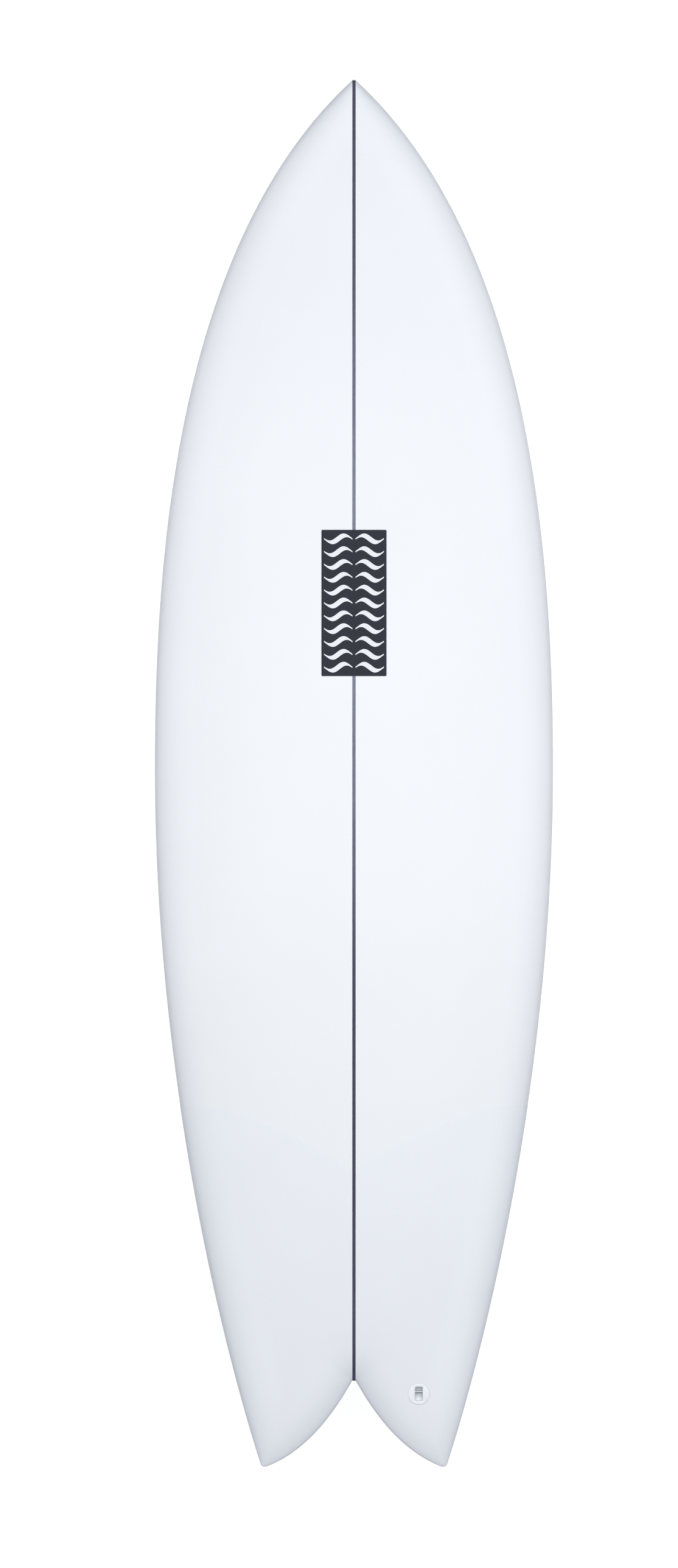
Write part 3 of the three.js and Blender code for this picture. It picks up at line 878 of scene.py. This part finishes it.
def label_finish():
    """A charcoal print with two columns of plain pale wave bands."""
    finish = Finish("label_print")
    finish.shader.inputs["Specular IOR Level"].default_value = 0.1
    middle = REST @ (Vector((0, LABEL_Y, deck_at(0, LABEL_Y))) * 0.001)
    x = finish.math("MULTIPLY", finish.axis("X"), 1000.0)
    y = finish.math("MULTIPLY", finish.math("SUBTRACT", finish.axis("Y"), middle.y), 1000.0)
    from_middle = finish.math("ABSOLUTE", x)
    across = finish.math("SUBTRACT", from_middle, COLUMN_MIDDLE)
    turn = finish.math("MULTIPLY", across, 2 * math.pi / WAVE_LENGTH)
    swung = finish.math("MULTIPLY_ADD", finish.math("SINE", turn), WAVE_SWING, y)
    bands = finish.math("PINGPONG", swung, WAVE_PITCH / 2)
    width = finish.math("MULTIPLY_ADD", finish.math("COSINE", turn), WAVE_SWELL, WAVE_HALF)
    in_band = finish.math("LESS_THAN", bands, width)
    in_column = finish.math("COMPARE", from_middle, COLUMN_MIDDLE, COLUMN_HALF)
    reach = WAVE_COUNT * WAVE_PITCH / 2
    in_length = finish.math("LESS_THAN", finish.math("ABSOLUTE", swung), reach)
    ink = finish.math("MULTIPLY", finish.math("MULTIPLY", in_band, in_column), in_length)
    fibres = finish.noise(1.0, 4.0, 0.6, finish.stretched((900, 900, 900)))
    ground = finish.ramp(fibres, [(0.3, (0.009, 0.013, 0.024)), (0.7, (0.016, 0.021, 0.036))])
    finish.color(finish.mix(ink, ground, (0.82, 0.845, 0.89)))
    finish.roughness(fibres, 0.25, 0.4)
    return finish.material


def moulding_finish(name, pale, shade, face=None):
    """Moulded plastic. Below a face, given as its frame, painted shade darkens it to a grey green
    deeper in the recess.
    """
    finish = Finish(name, coat=0.2, coat_roughness=0.2)
    speckle = finish.noise(700.0, 3.0)
    color = finish.ramp(speckle, [(0.3, shade), (0.65, pale)])
    if face:
        placed = REST @ Matrix.Translation(face.translation * 0.001) @ face.to_3x3().to_4x4()
        below = finish.nodes.new("ShaderNodeVectorMath")
        below.operation = "DOT_PRODUCT"
        finish.links.new(finish.where, below.inputs[0])
        below.inputs[1].default_value = placed.col[2][:3]
        level = placed.translation.dot(placed.col[2].to_3d())
        sunk = finish.math("SUBTRACT", level, below.outputs["Value"])
        depth = finish.math("MULTIPLY", sunk, 100.0)
        # Painted shade inside the recess, darker with depth below the face
        recess_painted_shade = [(0.04, (1, 1, 1)), (0.3, (0.9, 0.925, 0.92)), (1.0, (0.86, 0.885, 0.88))]
        color = finish.multiply(color, finish.ramp(depth, recess_painted_shade))
    finish.color(color)
    finish.roughness(finish.noise(250.0, 2.0), 0.32, 0.5)
    finish.bump(speckle, 0.12)
    return finish.material


def steel_finish(name, tone):
    finish = Finish(name, metallic=1.0)
    lines = finish.noise(1.0, 3.0, 0.6, finish.stretched((250, 3500, 3500)))
    low, high = tuple(c * 0.75 for c in tone), tone
    finish.color(finish.ramp(lines, [(0.3, low), (0.7, high)]))
    finish.roughness(lines, 0.22, 0.42)
    finish.bump(lines, 0.15, 0.00005)
    return finish.material


def fin_finish():
    """Dark fibreglass: a fine square weave under gloss resin."""
    finish = Finish("fin_composite", coat=0.25, coat_roughness=0.12)
    finish.shader.inputs["Specular IOR Level"].default_value = 0.3
    warp = finish.wave(260.0, "Y", 0.4)
    weft = finish.wave(260.0, "Z", 0.4)
    weave = finish.math("MULTIPLY", warp, weft)
    cloudy = finish.noise(30.0, 4.0)
    share = finish.math("MULTIPLY_ADD", weave, 0.5, finish.math("MULTIPLY", cloudy, 0.5))
    finish.color(finish.ramp(share, [(0.15, (0.014, 0.017, 0.02)), (0.75, (0.055, 0.062, 0.07))]))
    finish.roughness(weave, 0.28, 0.42)
    finish.bump(weave, 0.08, 0.0001)
    return finish.material


def floor_finish():
    """A pale floor with a painted glow: brighter round the board, with a painted shadow under it,
    and dimmer away from it.
    """
    finish = Finish("studio_floor", roughness=0.9)
    cloudy = finish.noise(2.0, 2.0)
    finish.color(finish.ramp(cloudy, [(0.3, (0.3, 0.3, 0.3)), (0.7, (0.32, 0.32, 0.32))]))
    x, y = finish.axis("X"), finish.axis("Y")
    # Painted glow, strongest round the board
    sideways = finish.math("DIVIDE", finish.math("ABSOLUTE", x), LIT_HALF[0])
    lengthways = finish.math("DIVIDE", finish.math("ABSOLUTE", y), LIT_HALF[1])
    away = finish.math("SUBTRACT", finish.math("MAXIMUM", sideways, lengthways), 1.0)
    outside = finish.math("MAXIMUM", away, 0.0)
    fade = finish.math("EXPONENT", finish.math("MULTIPLY", outside, -GLOW_FADE))
    # Painted shadow: the glow dims in an ellipse under the board
    across = finish.math("POWER", finish.math("DIVIDE", x, SHADOW_UNDER_HALF[0]), 2.0)
    length = finish.math("POWER", finish.math("DIVIDE", y, SHADOW_UNDER_HALF[1]), 2.0)
    inside = finish.math("SUBTRACT", 1.0, finish.math("ADD", across, length))
    shadow_under = finish.math("MAXIMUM", inside, 0.0)
    glow = finish.math("MULTIPLY_ADD", fade, GLOW_NEAR, GLOW_FAR)
    glow = finish.math("MULTIPLY_ADD", shadow_under, -GLOW_LOST_UNDER, glow)
    finish.shader.inputs["Emission Color"].default_value = (1, 1, 1, 1)
    finish.links.new(glow, finish.shader.inputs["Emission Strength"])
    return finish.material


# ------------------------------------------------------------------- assembly


def dress(piece, material, node, body="board"):
    piece.data.materials.clear()
    piece.data.materials.append(material)
    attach(piece, body)
    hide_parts(node)


deck_skin = skin("deck_glass_skin", deck_z, deck_steps)
bottom_skin = skin("bottom_glass_skin", bottom_z, bottom_steps)
patch = deck_patch()
label = add_object("logo_label", *shell_between(label_grid(LABEL_TOP), label_grid(0.2)))

for part in (deck_skin, patch):
    hole = [(PLUG_RIM_RADIUS + FITTED, -5), (PLUG_RIM_RADIUS + FITTED, 6)]
    combine(part, add_object("cutter", *lathe(hole, plug_frame, 96)), "DIFFERENCE")
box_plan = rounded_rectangle(BOX[0] + 2 * GAP, BOX[1] + 2 * GAP, BOX[0] / 2 + GAP - 0.01, 16)
for mirror in SIDES.values():
    cutter = add_object("cutter", *prism(box_plan, -5, 6, mirror @ right_fin))
    combine(bottom_skin, cutter, "DIFFERENCE")

for part in (deck_skin, bottom_skin, patch):
    mark_edges(part)

foam = foam_finish()
halves = {"left": foam_half("foam_left", -1), "right": foam_half("foam_right", 1)}
for side, half in halves.items():
    cutter = add_object("cutter", *prism(box_plan, -8, BOX[2] + GAP, SIDES[side] @ right_fin))
    combine(half, cutter, "DIFFERENCE")
pocket = [
    (PLUG_BODY_RADIUS + GAP, -PLUG_DEPTH - GAP),
    (PLUG_BODY_RADIUS + GAP, -2 - GAP),
    (PLUG_RIM_RADIUS + GAP, -2 - GAP),
    (PLUG_RIM_RADIUS + GAP, 6),
]
combine(halves["right"], add_object("cutter", *lathe(pocket, plug_frame, 64)), "DIFFERENCE")
for side, half in halves.items():
    dress(half, foam, f"blank_{side}")

dress(stringer(), stringer_finish(), "stringer")
dress(deck_skin, skin_finish("resin_deck", (0.893, 0.915, 0.962)), "deck_glass")
dress(bottom_skin, skin_finish("resin_bottom", (0.89, 0.91, 0.95)), "bottom_glass")
dress(patch, skin_finish("resin_patch", (0.876, 0.907, 0.97)), "deck_patch")
dress(label, label_finish(), "logo_decal")
dress(
    leash_cup(),
    moulding_finish("plug_plastic", (0.885, 0.91, 0.96), (0.86, 0.885, 0.935), plug_frame),
    "leash_cup",
)
dress(leash_pin(), steel_finish("pin_steel", (0.55, 0.54, 0.53)), "leash_pin")

fin_material = fin_finish()
screw_material = steel_finish("screw_steel", (0.42, 0.42, 0.44))
box_material = moulding_finish("box_plastic", (0.8, 0.82, 0.84), (0.74, 0.76, 0.78))
for side in SIDES:
    dress(fin(side), fin_material, f"fin_{side}", f"fin_{side}")
    for end, word in ((-1, "aft"), (1, "fore")):
        name = f"fin_screw_{word}_{side}"
        dress(grub_screw(side, end, name), screw_material, name, name)
    cad_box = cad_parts[f"fin_box_{side}"]
    cad_box.data.materials.clear()
    cad_box.data.materials.append(box_material)

# ------------------------------------------------------- floor, light, camera

floor_mesh = bpy.data.meshes.new("studio_floor")
corners = [(FLOOR_REACH * x, FLOOR_REACH * y, 0) for x, y in ((-1, -1), (1, -1), (1, 1), (-1, 1))]
floor_mesh.from_pydata(corners, [], [(0, 1, 2, 3)])
floor = bpy.data.objects.new("studio_floor", floor_mesh)
floor.location.z = -FLOOR_DROP
bpy.context.scene.collection.objects.link(floor)
floor.data.materials.append(floor_finish())

world = bpy.data.worlds.new("studio")
bpy.context.scene.world = world
world.use_nodes = True
studio = world.node_tree
direction = studio.nodes.new("ShaderNodeTexCoord").outputs["Generated"]
height = studio.nodes.new("ShaderNodeSeparateXYZ")
studio.links.new(direction, height.inputs[0])
walls = studio.nodes.new("ShaderNodeValToRGB")
for element, (position, tone) in zip(walls.color_ramp.elements, WALLS):
    element.position = position
    element.color = (*tone, 1)
studio.links.new(height.outputs["Z"], walls.inputs[0])
studio.links.new(walls.outputs["Color"], studio.nodes["Background"].inputs["Color"])
bpy.context.scene.view_settings.view_transform = "Standard"

# A large square light above the board, facing straight down on its deck
softbox_data = bpy.data.lights.new("softbox", "AREA")
softbox_data.shape = "SQUARE"
softbox_data.size = SOFTBOX_SIZE
softbox_data.energy = SOFTBOX_POWER
softbox = bpy.data.objects.new("softbox", softbox_data)
softbox.matrix_world = REST @ Matrix.Translation(SOFTBOX_AT)
bpy.context.scene.collection.objects.link(softbox)

camera_data = bpy.data.cameras.new("camera")
camera_data.sensor_width = SENSOR
camera_data.lens = SENSOR * VIEW_DISTANCE / VIEW_LENGTH
camera_data.clip_end = 100
camera = bpy.data.objects.new("camera", camera_data)
above = Vector(VIEW_MIDDLE) + Vector((0, 0, VIEW_DISTANCE))
camera.matrix_world = REST @ Matrix.Translation(above * 0.001)
bpy.context.scene.collection.objects.link(camera)
bpy.context.scene.camera = camera
